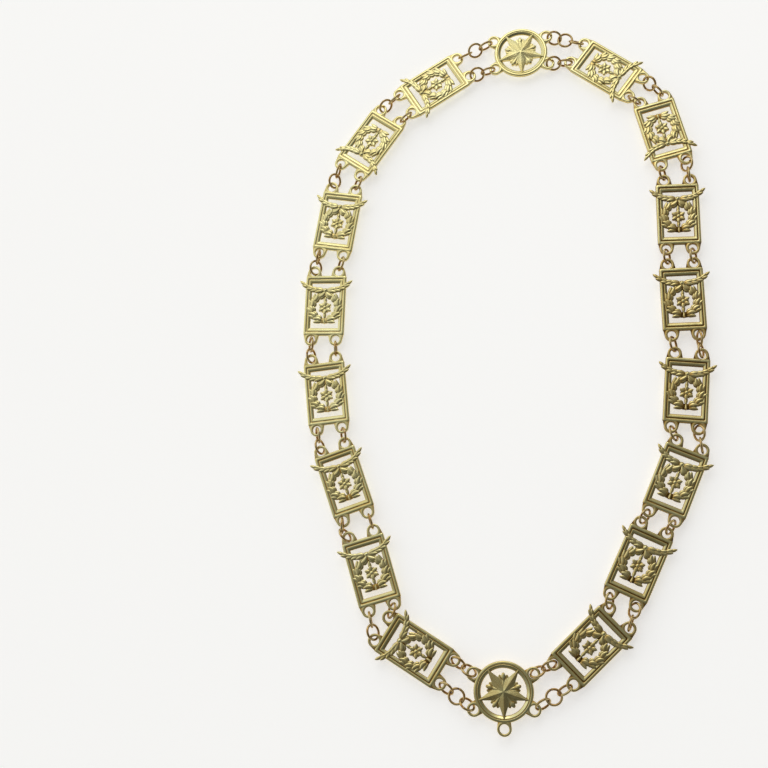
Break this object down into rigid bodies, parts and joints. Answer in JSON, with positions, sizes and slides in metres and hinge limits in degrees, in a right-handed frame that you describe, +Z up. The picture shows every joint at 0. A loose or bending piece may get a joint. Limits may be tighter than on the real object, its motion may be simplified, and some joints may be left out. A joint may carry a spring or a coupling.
{
  "type": "chain collar",
  "caption": "Ceremonial chain collar: pierced gilt plaques and star medallions joined into a closed loop by double strands of rings.",
  "frame": {"origin": "middle of the collar's box, on the table it lies on", "axes": "+Z up from the table, +Y towards the back medallion, -Y towards the front medallion with the jewel loop, +X towards the plaques named right"},
  "size_m": [0.2648, 0.4586, 0.0102],
  "materials": {
    "gilt_casting": "pale gilt casting, polished on its high parts and satin in its hollows",
    "gilt_wire": "polished gilt wire, coppery in its shadows"
  },
  "bodies": {
    "root": {"medallion_back": "gilt_casting", "medallion_front": "gilt_casting", "plaque_left_1": "gilt_casting", "plaque_left_2": "gilt_casting", "plaque_left_3": "gilt_casting", "plaque_left_4": "gilt_casting", "plaque_left_5": "gilt_casting", "plaque_left_6": "gilt_casting", "plaque_left_7": "gilt_casting", "plaque_left_8": "gilt_casting", "plaque_right_1": "gilt_casting", "plaque_right_2": "gilt_casting", "plaque_right_3": "gilt_casting", "plaque_right_4": "gilt_casting", "plaque_right_5": "gilt_casting", "plaque_right_6": "gilt_casting", "plaque_right_7": "gilt_casting", "plaque_right_8": "gilt_casting", "rings_back_left_1_outer": "gilt_wire", "rings_back_left_1_inner": "gilt_wire", "rings_left_1_left_2_outer": "gilt_wire", "rings_left_1_left_2_inner": "gilt_wire", "rings_left_2_left_3_outer": "gilt_wire", "rings_left_2_left_3_inner": "gilt_wire", "rings_left_3_left_4_outer": "gilt_wire", "rings_left_3_left_4_inner": "gilt_wire", "rings_left_4_left_5_outer": "gilt_wire", "rings_left_4_left_5_inner": "gilt_wire", "rings_left_5_left_6_outer": "gilt_wire", "rings_left_5_left_6_inner": "gilt_wire", "rings_left_6_left_7_outer": "gilt_wire", "rings_left_6_left_7_inner": "gilt_wire", "rings_left_7_left_8_outer": "gilt_wire", "rings_left_7_left_8_inner": "gilt_wire", "rings_left_8_front_outer": "gilt_wire", "rings_left_8_front_inner": "gilt_wire", "rings_front_right_8_outer": "gilt_wire", "rings_front_right_8_inner": "gilt_wire", "rings_right_8_right_7_outer": "gilt_wire", "rings_right_8_right_7_inner": "gilt_wire", "rings_right_7_right_6_outer": "gilt_wire", "rings_right_7_right_6_inner": "gilt_wire", "rings_right_6_right_5_outer": "gilt_wire", "rings_right_6_right_5_inner": "gilt_wire", "rings_right_5_right_4_outer": "gilt_wire", "rings_right_5_right_4_inner": "gilt_wire", "rings_right_4_right_3_outer": "gilt_wire", "rings_right_4_right_3_inner": "gilt_wire", "rings_right_3_right_2_outer": "gilt_wire", "rings_right_3_right_2_inner": "gilt_wire", "rings_right_2_right_1_outer": "gilt_wire", "rings_right_2_right_1_inner": "gilt_wire", "rings_right_1_back_outer": "gilt_wire", "rings_right_1_back_inner": "gilt_wire"}
  },
  "joints": []
}
